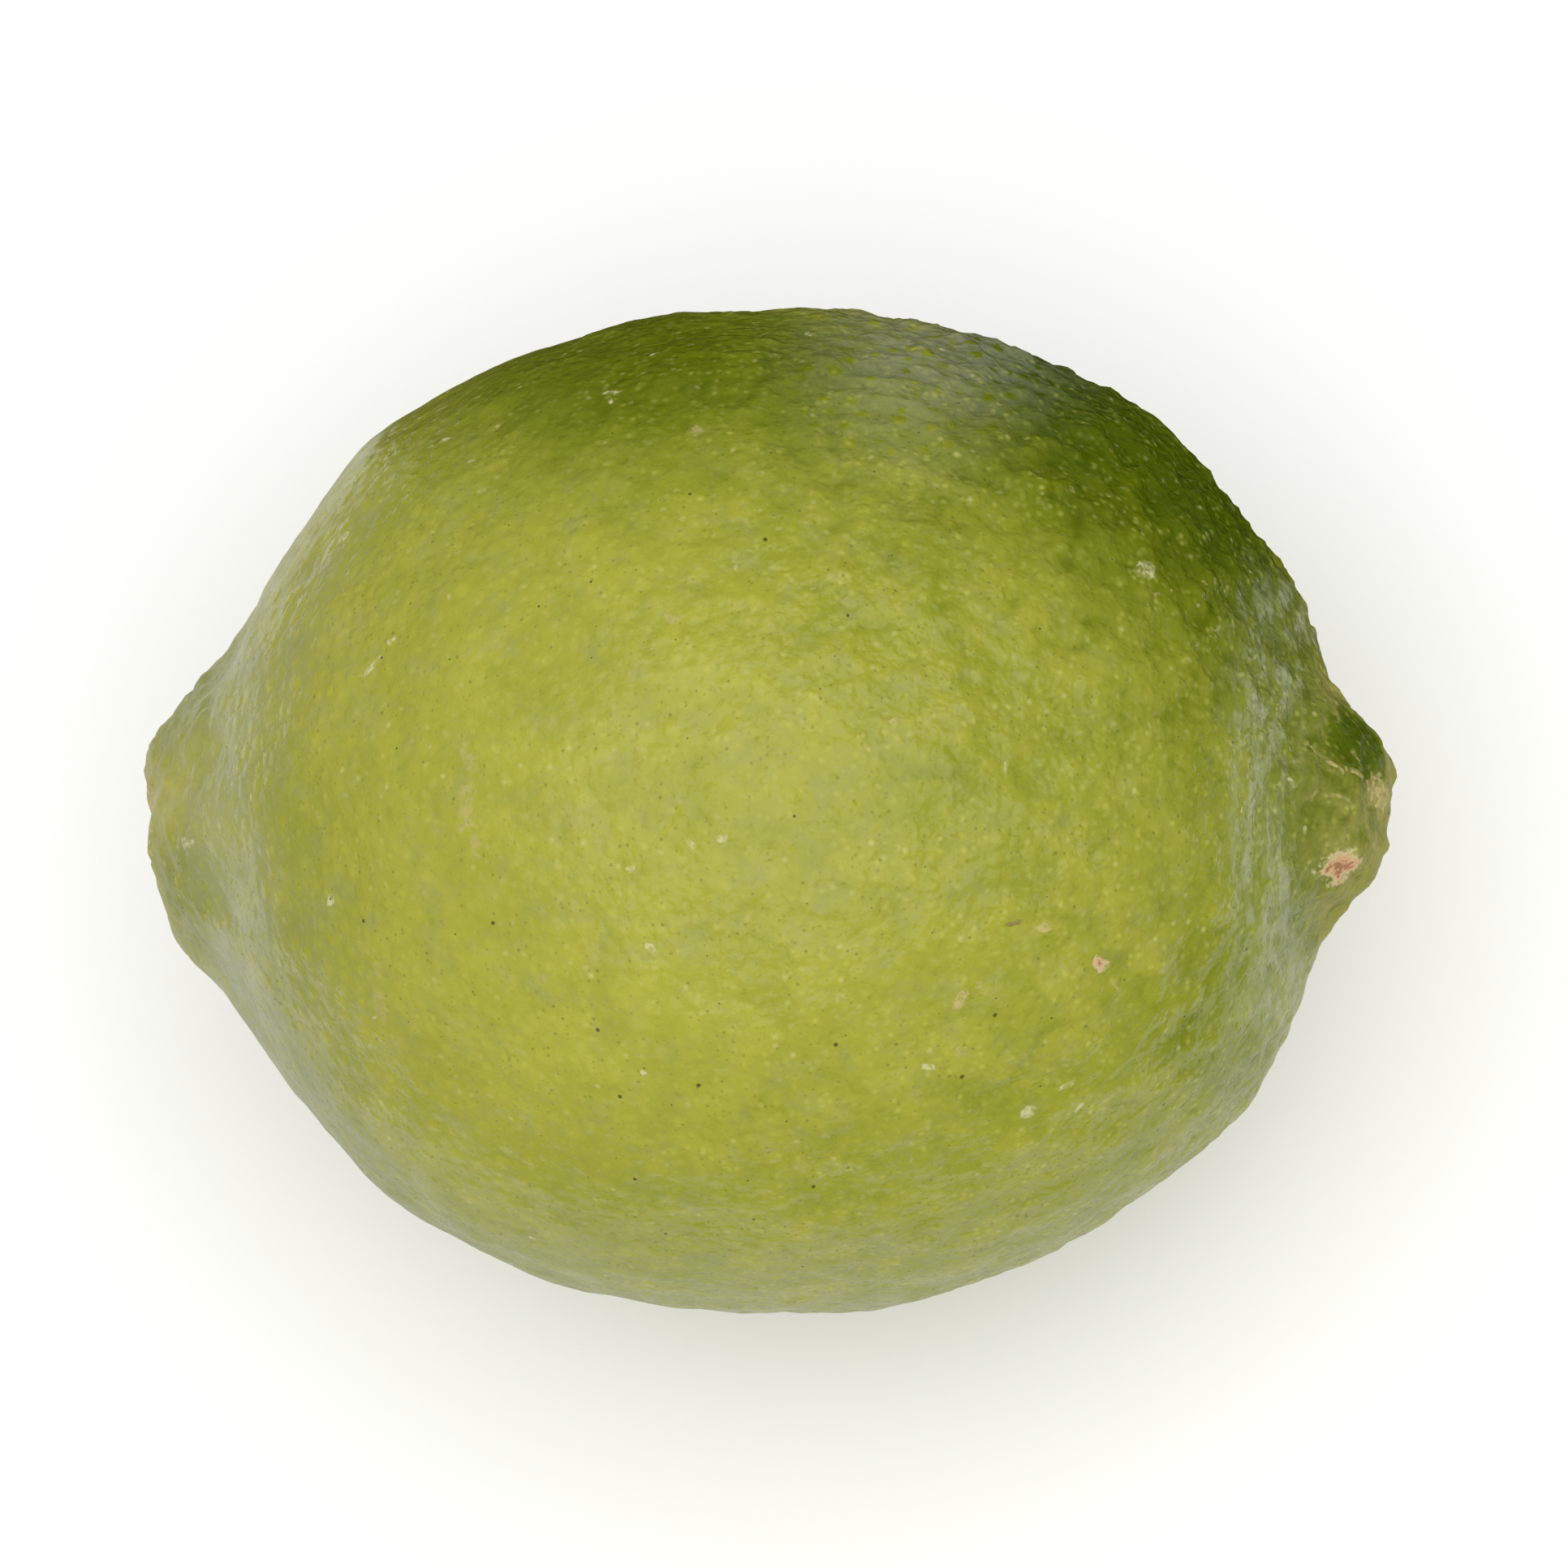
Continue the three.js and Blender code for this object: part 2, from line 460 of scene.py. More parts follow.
MARKS: tuple[Mark, ...] = (
    # the nipple: the scab of the style, the cork lines that run to it and the healed crater beside it
    Mark(9.3, 94.3, 3.2, 1.7, 165),
    Mark(16.7, 86.4, 1.9, 0.26, 140),
    Mark(13.4, 90.4, 2.8, 0.3, 173),
    Mark(12.6, 86.0, 1.5, 0.22, 142, MarkKind.LACE),
    Mark(20.0, 91.0, 1.1, 0.2, 18, MarkKind.LACE),
    Mark(20.9, 97.0, 0.6, 0.25, 144, MarkKind.PALE_WAX),
    Mark(18.2, 100.3, 0.6, 0.25, 30, MarkKind.LACE),
    Mark(15.6, 100.2, 0.9, 0.25, 163, MarkKind.LACE),
    Mark(14.7, 126.4, 1.6, 2.2, 46, MarkKind.PINK_CORK),
    # the stem scar
    Mark(174.4, 117.4, 3.9, 3.7, 0, MarkKind.PINK_CORK),
    # grazes over the top, from the stem end to the blossom end
    Mark(161.7, 114.5, 1.1, 0.65, 8, MarkKind.PALE_WAX),
    Mark(134.6, 60.7, 0.6, 0.4, 101, MarkKind.PALE_WAX),
    Mark(133.6, 117.4, 0.75, 0.7, 92, MarkKind.PALE_WAX),
    Mark(128.4, 85.8, 1.7, 0.35, 26, MarkKind.PALE_WAX),
    Mark(127.3, 131.8, 2.8, 0.8, 78, MarkKind.LACE),
    Mark(127.0, 125.8, 0.8, 0.5, 98, MarkKind.LACE),
    Mark(122.5, 50.6, 0.8, 0.4, 144, MarkKind.PALE_WAX),
    Mark(115.4, 98.8, 1.7, 0.7, 114, MarkKind.LACE),
    Mark(115.4, 104.6, 5.0, 0.9, 89, MarkKind.LACE),
    Mark(114.3, 109.4, 1.3, 0.6, 100, MarkKind.LACE),
    Mark(102.9, 50.4, 0.7, 0.5, 163, MarkKind.PALE_WAX),
    Mark(95.1, 119.5, 0.5, 0.45, 0, MarkKind.PALE_WAX),
    Mark(92.8, 84.1, 1.0, 0.6, 168, MarkKind.LACE),
    Mark(92.7, 59.2, 1.0, 0.7, 150, MarkKind.LACE),
    Mark(87.1, 107.8, 0.5, 0.4, 0, MarkKind.PALE_WAX),
    Mark(69.3, 95.0, 0.55, 0.45),
    Mark(62.8, 133.9, 1.2, 0.55, 138, MarkKind.LACE),
    Mark(62.7, 127.4, 1.2, 0.45, 66),
    Mark(60.0, 126.6, 1.3, 0.5, 142, MarkKind.LACE),
    Mark(57.0, 118.5, 1.1, 0.24, 7, MarkKind.BROWN_CORK),
    Mark(56.3, 145.3, 0.75, 0.6, 158, MarkKind.PALE_WAX),
    Mark(53.8, 119.4, 0.8, 0.6, 0),
    Mark(52.0, 143.0, 0.9, 0.28, 4, MarkKind.PALE_WAX),
    Mark(50.9, 147.4, 0.8, 0.3, 31, MarkKind.PALE_WAX),
    Mark(50.7, 172.5, 1.6, 0.3, 129),
    Mark(47.7, 126.0, 0.9, 0.7, 137, MarkKind.PINK_CORK),
    Mark(45.9, 130.1, 1.3, 0.2, 113, MarkKind.LACE),
    Mark(42.8, 67.0, 1.1, 0.9, 45, MarkKind.PALE_WAX),
    # the far sides
    Mark(64.0, 330.0, 1.8, 0.5, 40),
    Mark(98.0, 352.0, 0.8, 0.6, 10, MarkKind.PALE_WAX),
    Mark(120.0, 310.0, 0.8, 0.5, 100, MarkKind.PINK_CORK),
    Mark(76.0, 215.0, 1.4, 0.4, 60),
    Mark(110.0, 228.0, 0.7, 0.6, 0, MarkKind.PALE_WAX),
    Mark(48.0, 242.0, 0.7, 0.5, 130, MarkKind.PINK_CORK),
    Mark(136.0, 205.0, 1.2, 0.4, 20),
)

# Where the rind is greener, and where it is riper.
BLOTCHES: tuple[Blotch, ...] = (
    # the deep green over the +Y shoulder, in two patches with a paler band between them
    Blotch(100, 41, 25, 27, 0.71, 72, 2.7),
    Blotch(45, 23, 21, 36, 0.98, 6, 4.0),
    Blotch(67, 51, 20, 34, 0.2, -11, 4.8),
    # a fainter green around the nipple
    Blotch(33, 82, 16, 35, 0.46, -60, 2.2),
    Blotch(12, 145, 20, 31, 0.24, -83, 5.8),
    Blotch(18, 145, 5, 8, 0.2, 40, 4.7),
    Blotch(16, 112, 9, 8, 0.24, 0, 3),
    # the deep green on the upper side of the nipple, and in the waist beside it
    Blotch(11.7, 71.5, 5.0, 3.4, 0.5, 49, 3),
    Blotch(23, 48, 9, 14, 0.1, 0, 3),
    # the fainter green of the lower flank, and of the stem end
    Blotch(47, 180, 45, 29, 0.22, 76, 4.4),
    Blotch(103, 175, 45, 25, 0.17, 44, 4.7),
    Blotch(144, 165, 18, 37, 0.2, 20, 1.8),
    # the nose: a green cap above, a riper middle and a greener underside
    Blotch(166, 58, 7, 10, 0.42, 0, 3),
    Blotch(167, 94, 5, 6, -0.4, 0, 3),
    Blotch(164, 133, 6, 7, 0.32, 0, 3),
    # a riper cheek below the second patch
    Blotch(48, 75, 26, 13, -0.19, -90, 4.4),
    # the side that faces down and away
    Blotch(88, 335, 42, 30, 0.7, 20, 3),
    Blotch(120, 296, 24, 26, 0.35, 0, 2),
)

# Where a grey bloom of wax lies thicker, with painted sheen in it: between the green patches, at the two ends
# and along the -Y flank.
BLOOMS: tuple[Blotch, ...] = (
    Blotch(69, 25, 13, 30, 0.6, 0, 3),
    Blotch(168, 90, 27, 27, 0.08, 0, 5),
    Blotch(148, 165, 20, 28, 0.34, 0, 3),
    Blotch(145, 70, 14, 16, 0.2, 0, 3),
    Blotch(90, 185, 60, 24, 0.2, 0, 3),
    Blotch(70, 270, 30, 20, 0.3, 30, 2),
)

# Where the skin is dry, matt and knobbly: on the nipple and, less, on the nose.
DRY_SKIN: tuple[Blotch, ...] = (
    Blotch(5, 95, 14, 14, 1.0, 0, 8),
    Blotch(177, 90, 17.5, 17.5, 0.4, 0, 8),
)

# The largest dark specks: some sit in the middle of a mark.
DARK_SPECKS: tuple[tuple[float, float], ...] = (
    (126.8, 84.9), (133.6, 117.4), (161.7, 114.5), (83.7, 74.6), (107.9, 81.7), (92.3, 68.7),
    (74.5, 83.2), (79.6, 105.5), (112.5, 117.7), (128.8, 119.5), (76.0, 131.1), (101.4, 129.3),
    (99.5, 137.3), (90.9, 135.7), (99.1, 149.2), (86.8, 155.6), (97.0, 159.3), (79.8, 150.6),
    (82.6, 165.9), (63.1, 137.3), (59.2, 130.0), (28.2, 135.0), (41.0, 156.8),
)


@dataclass(frozen=True)
class WaxyRind:
    """Waxed citrus rind, grown: pitted by its oil glands, with a satin skin of wax over soft, moist colour.

    The wax gives broad soft highlights that whiten towards the edge of the fruit. The flesh of the rind lets
    a little light through, so its pits look soft. Colours run from deep green, where the fruit was shaded, to
    yellow-green. Heights are millimetres.
    """

    # the skin, from the ripest to the greenest, each with its place on the ramp of tones
    skin: tuple[tuple[float, str], ...] = (
        (0.0, "a4a33d"), (0.13, "989932"), (0.3, "888d28"),
        (0.57, "6f7916"), (0.78, "5b6706"), (1.0, "465600"),
    )
    # what tints it: riper spots, the grey bloom with painted sheen in it, the painted grey sheen of the
    # waists, and dry skin
    yellow: str = "a5a13c"
    bloom: str = "858876"
    net: str = "a3a78c"
    dry: str = "9b9158"
    # the fine dots in it
    gland: str = "bcbc58"
    fleck: str = "c2bf7c"
    pore: str = "524f20"
    # the marks on it, and the middle of a healed crater
    pale: str = "bfba8c"
    lace: str = "ab9f68"
    tan: str = "b3a36d"
    brown: str = "7e6c40"
    pink: str = "bd9670"
    heart: str = "8a6141"
    speck: str = "33321a"
    # relief that is finer than the mesh
    dome_height: float = 0.045
    grain_height: float = 0.045
    pebble_height: float = 0.2
    pore_depth: float = 0.05
    cork_height: float = 0.03
    streak_height: float = 0.05
    # the wax, and how much rougher cork and dry skin are
    roughness: float = 0.2
    dull: float = 0.25
    ior: float = 1.35
    gloss: float = 0.5
    dull_gloss: float = 0.12

    def material(self) -> bpy.types.Material:
        """Makes the rind's material.

        Returns:
            A material that reads the rind's own attributes: green, which holds painted shade in the creases
            and hollows too, the bloom, which holds painted sheen too, glow, dryness, pebbles and the painted
            grey sheen of the waists, which are one number each, and gland, mark and speck, which are three.
        """
        material, add = start_material("waxed_lime_rind")
        per_mm = 1 / MM  # a scale of this many gives a pattern of one to the millimetre
        maths, vectors, span = "ShaderNodeMath", "ShaderNodeVectorMath", "ShaderNodeMapRange"
        noise, tint, ramps = "ShaderNodeTexNoise", "ShaderNodeMix", "ShaderNodeValToRGB"

        where = add("ShaderNodeTexCoord", output="Object")
        green, bloom, glow, dryness, pebbles, waist = (
            add("ShaderNodeAttribute", output="Fac", attribute_name=name)
            for name in ("green", "bloom", "glow", "dryness", "pebbles", "waist")
        )
        gland, mark, speck = (
            add("ShaderNodeAttribute", output="Vector", attribute_name=name)
            for name in ("gland", "mark", "speck")
        )

        # Soft chance variation. The numbers are the size of its features in millimetres, how many times finer
        # features are laid over them, and how strong those are.
        broad, patchy, middling, cloudy, small, pebbly, ragged, grain = (
            add(noise, {"Vector": where, "Scale": per_mm / size, "Detail": detail, "Roughness": strength})
            for size, detail, strength in (
                (7.0, 3.0, 0.62), (3.1, 2.0, 0.6), (2.4, 2.0, 0.6), (1.7, 4.0, 0.7),
                (0.8, 2.0, 0.65), (0.55, 1.0, 0.5), (0.45, 2.0, 0.7), (0.4, 2.0, 0.6),
            )
        )

        # The tone runs from 0, ripe, to 1, deep green. The edges of the green patches break up over 7 mm, and
        # again over 2.4 and 0.8 mm, and dry skin is the most mottled.
        # The green attribute also holds painted shade: a deeper green in the creases and hollows.
        tone = add(maths, {0: broad, 1: 0.26, 2: green}, operation="MULTIPLY_ADD")
        tone = add(maths, {0: middling, 1: 0.2, 2: tone}, operation="MULTIPLY_ADD")
        mottling = add(maths, {0: dryness, 1: 0.35, 2: 0.2}, operation="MULTIPLY_ADD")
        unmottled = add(maths, {0: dryness, 1: -0.175, 2: tone}, operation="MULTIPLY_ADD")
        tone = add(maths, {0: small, 1: mottling, 2: unmottled}, operation="MULTIPLY_ADD")
        # Each gland is a clear sac under the skin, with a soft riper halo: its radius is 0.5, and glow is how
        # much of it shows.
        away = add(vectors, {0: gland}, operation="LENGTH")
        halo = add(span, {"Value": away, "From Min": 0.5, "From Max": 0.12, "To Max": -0.1})
        tone = add(maths, {0: halo, 1: glow, 2: tone}, operation="MULTIPLY_ADD")
        tone = add(span, {"Value": tone, "From Min": 0.15, "From Max": 1.3})
        skin = add(ramps, {"Fac": tone}, ramp=[(at, linear(colour)) for at, colour in self.skin])

        # Where the green thins out, the rind is yellower in some places and has a grey-green bloom in others,
        # which is partly a bloom of wax and partly painted sheen.
        ripeness = add(span, {"Value": tone, "From Min": 0.6, "From Max": 0.25})
        amount = add(maths, {0: small, 1: 0.7, 2: patchy}, operation="MULTIPLY_ADD")
        amount = add(span, {"Value": amount, "From Min": 0.82, "From Max": 1.02, "To Max": 0.4})
        amount = add(maths, {0: amount, 1: ripeness}, operation="MULTIPLY")
        skin = add(tint, {"Factor": amount, "A": skin, "B": linear(self.yellow)}, data_type="RGBA")
        veil = add(span, {"Value": cloudy, "From Min": 0.5, "From Max": 0.7, "To Max": 0.2})
        veil = add(maths, {0: veil, 1: ripeness}, operation="MULTIPLY")
        patches = add(span, {"Value": cloudy, "From Min": 0.3, "From Max": 0.7, "To Min": 0.4, "To Max": 1.6})
        # The grey of bloom and painted sheen lies thick on the skin, but not in the hollows of the glands.
        bare = add(span, {"Value": away, "From Min": 0.42, "From Max": 0.08, "To Max": 2.2})
        bare = add(maths, {0: bare, 1: glow}, operation="MULTIPLY")
        thick = add(maths, {0: patches, 1: bare}, operation="SUBTRACT", use_clamp=True)
        amount = add(maths, {0: bloom, 1: thick, 2: veil}, operation="MULTIPLY_ADD")
        skin = add(tint, {"Factor": amount, "A": skin, "B": linear(self.bloom)}, data_type="RGBA")

        # In the waist beside each end a faint grey sheen is painted on. Beside the nipple, where the rind is
        # coarse, the painted sheen runs in streaks around the fruit: 0.5 mm wide, and five times as long.
        drawn = add(vectors, {0: where, 1: (5.0, 1.0, 1.0)}, operation="MULTIPLY")
        streaks = add(noise, {"Vector": drawn, "Scale": per_mm / 2.5, "Detail": 2.0, "Roughness": 0.6})
        streaks = add(span, {"Value": streaks, "From Min": 0.48, "From Max": 0.6})
        coarse = add(span, {"Value": pebbles, "From Min": 0.25, "From Max": 0.6})
        streaks = add(maths, {0: streaks, 1: coarse}, operation="MULTIPLY")
        streaks = add(maths, {0: streaks, 1: waist}, operation="MULTIPLY")
        amount = add(maths, {0: streaks, 1: 0.34}, operation="MULTIPLY")
        amount = add(maths, {0: waist, 1: 0.1, 2: amount}, operation="MULTIPLY_ADD")
        amount = add(maths, {0: amount, 1: patches}, operation="MULTIPLY")
        skin = add(tint, {"Factor": amount, "A": skin, "B": linear(self.net)}, data_type="RGBA")

        # The dry skin at the two ends is duller and browner, but for where it is deep green.
        amount = add(span, {"Value": tone, "From Min": 0.85, "From Max": 0.55, "To Max": 0.5})
        amount = add(maths, {0: amount, 1: dryness}, operation="MULTIPLY")
        amount = add(maths, {0: amount, 1: patches}, operation="MULTIPLY")
        skin = add(tint, {"Factor": amount, "A": skin, "B": linear(self.dry)}, data_type="RGBA")

        # Bright dots where the oil shows through, pale flecks that are partly scuffed wax and partly painted
        # glints, and dark pores and dust. They crowd together in places, and the bright dots are few where
        # the rind is smooth.
        # Each is a slice through a little ball, so their sizes vary. The numbers are the gap from one ball to
        # the next and its radius, in millimetres, how sharp its edge is, and how much it covers.
        crowd = add(span, {"Value": patchy, "From Min": 0.42, "From Max": 0.56, "To Min": 0.4})
        bright = add(span, {"Value": pebbles, "From Max": 0.6, "To Min": 0.2})
        bright = add(maths, {0: crowd, 1: bright}, operation="MULTIPLY")
        for gap, radius, sharp, cover, colour, company in (
            (0.5, 0.22, 0.0, 0.55, self.gland, bright),
            (0.8, 0.2, 0.3, 0.5, self.fleck, crowd),
            (0.4, 0.11, 0.2, 0.65, self.pore, crowd),
        ):
            balls = add("ShaderNodeTexVoronoi", {"Vector": where, "Scale": per_mm / gap})
            chance = add("ShaderNodeSeparateColor", {"Color": balls.node.outputs["Color"]}, output="Red")
            # Ragged adds about 0.05 to a distance, so the edge lies that much farther out.
            out = add(maths, {0: ragged, 1: 0.1, 2: balls}, operation="MULTIPLY_ADD")
            edge = radius / gap + 0.05
            dots = add(span, {"Value": out, "From Min": edge, "From Max": edge * sharp, "To Max": cover})
            dots = add(maths, {0: dots, 1: chance}, operation="MULTIPLY")
            amount = add(maths, {0: dots, 1: company}, operation="MULTIPLY")
            skin = add(tint, {"Factor": amount, "A": skin, "B": linear(colour)}, data_type="RGBA")

        # Marks: cork and scuffed wax, with ragged edges. Out is 1 at a mark's edge, and ragged adds about 1.
        along, across, kind = add("ShaderNodeSeparateXYZ", {0: mark}).node.outputs
        flat = add("ShaderNodeCombineXYZ", {"X": along, "Y": across})
        # Squared twice, so that a long mark keeps its width to its ends.
        flat = add(vectors, {0: flat, 1: flat}, operation="MULTIPLY")
        out = add(vectors, {0: flat}, operation="LENGTH")
        out = add(maths, {0: out, 1: 0.5}, operation="POWER")
        reach = add(maths, {0: ragged, 1: 2.0, 2: out}, operation="MULTIPLY_ADD")
        cork = add(span, {"Value": reach, "From Min": 2.1, "From Max": 1.7})
        # They are pierced like lace, apart from the healed craters.
        lace = add(span, {"Value": grain, "From Min": 0.42, "From Max": 0.58, "To Min": 0.2})
        crater = add(span, {"Value": kind, "From Min": 0.85})
        lace = add(maths, {0: lace, 1: crater}, operation="MAXIMUM")
        cork = add(maths, {0: cork, 1: lace}, operation="MULTIPLY")
        # The colour of each kind of mark, and how thickly it covers the skin.
        kinds = ((self.pale, 0.8), (self.lace, 0.55), (self.tan, 0.85), (self.brown, 0.8), (self.pink, 1.0))
        kinds = [(look.value, linear(*paint)) for look, paint in zip(MarkKind, kinds)]
        colour = add(ramps, {"Fac": kind}, ramp=kinds)
        cork = add(maths, {0: cork, 1: colour.node.outputs["Alpha"]}, operation="MULTIPLY")
        # A healed crater is paler at its rim and browner in its middle.
        rim = add(span, {"Value": reach, "From Min": 1.5, "From Max": 1.8, "To Max": 0.7})
        heart = add(span, {"Value": reach, "From Min": 1.4, "From Max": 1.2, "To Max": 0.8})
        for part, paint in ((rim, self.pale), (heart, self.heart)):
            amount = add(maths, {0: part, 1: crater}, operation="MULTIPLY")
            colour = add(tint, {"Factor": amount, "A": colour, "B": linear(paint)}, data_type="RGBA")
        skin = add(tint, {"Factor": cork, "A": skin, "B": colour}, data_type="RGBA")

        # Dark specks, sharper than the marks. Reach is 1 at a speck's edge, and ragged adds about 0.6.
        reach = add(vectors, {0: speck}, operation="LENGTH")
        reach = add(maths, {0: ragged, 1: 1.2, 2: reach}, operation="MULTIPLY_ADD")
        amount = add(span, {"Value": reach, "From Min": 1.5, "From Max": 1.1, "To Max": 0.8})
        skin = add(tint, {"Factor": amount, "A": skin, "B": linear(self.speck)}, data_type="RGBA")

        # Relief: the dome of each gland, the grain of the wax, fine pebbles, pores, cork and streaks of wax.
        height = add(span, {"Value": away, "From Min": 0.5, "From Max": 0.1, "To Max": self.dome_height})
        steep = add(maths, {0: pebbles, 1: self.pebble_height}, operation="MULTIPLY")
        for layer, rise in (
            (grain, self.grain_height),
            (pebbly, steep),
            (dots, -self.pore_depth),
            (cork, self.cork_height),
            (streaks, self.streak_height),
        ):
            height = add(maths, {0: layer, 1: rise, 2: height}, operation="MULTIPLY_ADD")
        bump = add("ShaderNodeBump", {"Strength": 1.0, "Distance": MM, "Height": height})

        # The wax is a little rougher in some patches than in others, and where the rind is smooth.
        least, most = self.roughness - 0.06, self.roughness + 0.08
        ends = {"From Min": 0.3, "From Max": 0.7, "To Min": least, "To Max": most}
        rough = add(span, {"Value": middling, **ends})
        for worn in (cork, dryness):
            rough = add(maths, {0: worn, 1: self.dull, 2: rough}, operation="MULTIPLY_ADD")
        satin = add(span, {"Value": pebbles, "From Min": 0.6, "From Max": 0.2, "To Max": 0.08})
        rough = add(maths, {0: rough, 1: satin}, operation="ADD")
        matt = add(maths, {0: cork, 1: dryness}, operation="MAXIMUM")
        shine = add(span, {"Value": matt, "To Min": self.gloss, "To Max": self.dull_gloss})
        shader = add(
            "ShaderNodeBsdfPrincipled",
            {
                "Base Color": skin,
                "Roughness": rough,
                "IOR": self.ior,
                "Specular IOR Level": shine,
                "Normal": bump,
                "Subsurface Weight": 0.12,
                "Subsurface Radius": (1.0, 0.8, 0.25),
                "Subsurface Scale": 0.7 * MM,
            },
            subsurface_method="RANDOM_WALK",
        )
        add("ShaderNodeOutputMaterial", {"Surface": shader})
        return material


@dataclass
class Rind:
    """The fruit's skin: a dense closed mesh over the solid, with its glands pressed into it.

    The length of pebbles, knobbles, creases and wander is that from one rise to the next.
    """

    form: FruitForm = field(default_factory=FruitForm)
    finish: WaxyRind = field(default_factory=WaxyRind)
    facets_per_quarter: int = 128
    crowding: float = 0.25  # how far the facets crowd towards the two ends, from 0 to 1
    inset: float = 0.15  # how far it lies inside the solid, so that its pebbles reach the solid's surface
    gland_count: int = 8000  # about 1.15 mm from one to the next
    gland_rounds: int = 3  # how often they push each other apart
    gland_depth: float = 0.1  # the most that a gland sinks in
    gland_height: float = 0.08  # the most that one stands out
    gland_radius: float = 0.45
    gland_spread: float = 0.25  # how much larger or smaller than that a gland can be
    gland_glow: tuple[float, float] = (1.1, 1.8)  # how clear they are: most are faint, and a few show fully
    pebble_height: float = 0.26
    pebble_length: float = 2.1
    knobble_height: float = 0.3  # the knobs at the two ends are lumpy
    knobble_length: float = 1.4
    knobble_dryness: float = 0.4  # the dryness from which they are lumpy all over
    dry_pebbles: float = 0.4  # how much coarser the dry skin is
    crease_depth: float = 0.07
    crease_length: float = 3.0
    crease_width: float = 0.1
    hollow_green: float = 0.3  # how much deeper green the rind is painted in its creases and hollows: partly its own colour, partly painted shade
    nipple_waist: float = 19.0  # degrees from the middle of the nipple
    nose_waist: float = 22.0
    specks: int = 420
    speck_radius: tuple[float, float] = (0.03, 0.075)
    large_speck_radius: tuple[float, float] = (0.1, 0.15)
    scuffs: int = 260
    scuff_length: tuple[float, float] = (0.2, 0.65)
    scuff_width: tuple[float, float] = (0.15, 0.32)
    wander: float = 0.15  # how far the lines of cork stray, over the length below
    wander_length: float = 0.8
    seed: int = 7

    def directions(self, mesh: bpy.types.Mesh) -> np.ndarray:
        """Spreads a cube's points evenly over a sphere, crowded towards the fruit's ends.

        Args:
            mesh: A finely divided cube that reaches 1 each way.

        Returns:
            A unit vector for each vertex.
        """
        corners = np.empty(len(mesh.vertices) * 3, np.float32)
        mesh.vertices.foreach_get("co", corners)
        even = unit(np.tan(corners.reshape(-1, 3).astype(float) * math.pi / 4))
        angle = np.arccos(np.clip(even[:, 0], -1, 1))
        crowded = angle - self.crowding * np.sin(2 * angle) / 2
        turn = np.arctan2(even[:, 2], even[:, 1])
        across = np.sin(crowded)
        return np.stack([np.cos(crowded), across * np.cos(turn), across * np.sin(turn)], 1)

    def blank(self) -> bpy.types.Object:
        """Makes the rind as a cube that reaches 1 each way, divided into an even grid of four-sided faces.

        Returns:
            The rind, still without its form.
        """
        work = bmesh.new()
        bmesh.ops.create_cube(work, size=2.0)
        cuts = self.facets_per_quarter - 1
        bmesh.ops.subdivide_edges(work, edges=work.edges[:], cuts=cuts, use_grid_fill=True)
        return set_out(work, "lime_rind", self.finish.material())

    def nearest(self, targets: np.ndarray, points: np.ndarray) -> tuple[np.ndarray, np.ndarray]:
        """Finds the target nearest to each point.

        Args:
            targets: Places to look for.
            points: Places to look from.

        Returns:
            The number of the nearest target, and its distance.
        """
        tree = KDTree(len(targets))
        for i, target in enumerate(targets):
            tree.insert(target, i)
        tree.balance()
        found = [tree.find(point)[1:] for point in points]
        index, distance = zip(*found)
        return np.array(index), np.array(distance)

    def glands(self, middles: np.ndarray, rng: np.random.Generator) -> np.ndarray:
        """Scatters the oil glands and lets them push each other apart.

        Args:
            middles: The middle of each face, in millimetres.
            rng: The source of chance.

        Returns:
            The place of each gland on the surface.
        """
        places = self.form.points(unit(rng.normal(size=(self.gland_count, 3))))
        for _ in range(self.gland_rounds):
            index, _ = self.nearest(places, middles)
            count = np.bincount(index, minlength=len(places))
            sums = [np.bincount(index, values, len(places)) for values in middles.T]
            moved = np.stack(sums, 1) / np.maximum(count, 1)[:, None]
            moved[count == 0] = places[count == 0]
            places = self.form.points(unit(moved))
        return places

    def build(self, target: tuple[Vector, Vector]) -> tuple[bpy.types.Object, Vector]:
        """Builds the rind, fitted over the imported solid.

        Args:
            target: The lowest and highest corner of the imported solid, in metres.

        Returns:
            The rind, with its attributes and material, and the place of the fruit's middle in metres.
        """
        rng = np.random.default_rng(self.seed)
        rind = self.blank()
        mesh = rind.data
        directions = self.directions(mesh)
        base = self.form.points(directions)
        corner = np.empty(len(mesh.loops), np.int32)
        mesh.loops.foreach_get("vertex_index", corner)
        middles = base[corner].reshape(-1, 4, 3).mean(1)

        glands = self.glands(middles, rng)
        sizes = rng.uniform(1 - self.gland_spread, 1 + self.gland_spread, len(glands))
        heights = rng.uniform(-self.gland_depth, self.gland_height, len(glands))
        coarse = self.coarseness(directions)
        relief, hollow = self.relief(base, coarse, glands, sizes, heights)
        dryness = sum(patch.strength(directions) for patch in DRY_SKIN)
        relief += self.knobbles(base, dryness)
        points = base + directions * (relief - self.inset)[:, None]
        middle, points = self.fit(base, points, target)
        mesh.vertices.foreach_set("co", (points * MM + middle).astype(np.float32).ravel())
        mesh.update()

        green = sum(blotch.strength(directions) for blotch in BLOTCHES)
        # The green carries painted shade as well: the rind is painted a deeper green in its creases and
        # hollows.
        self.write(mesh, "green", "POINT", green + self.hollow_green * (hollow - hollow.mean()))
        # the grey bloom, which holds painted sheen as well
        self.write(mesh, "bloom", "POINT", sum(patch.strength(directions) for patch in BLOOMS))
        self.write(mesh, "dryness", "POINT", dryness)
        self.write(mesh, "pebbles", "POINT", coarse + self.dry_pebbles * dryness)
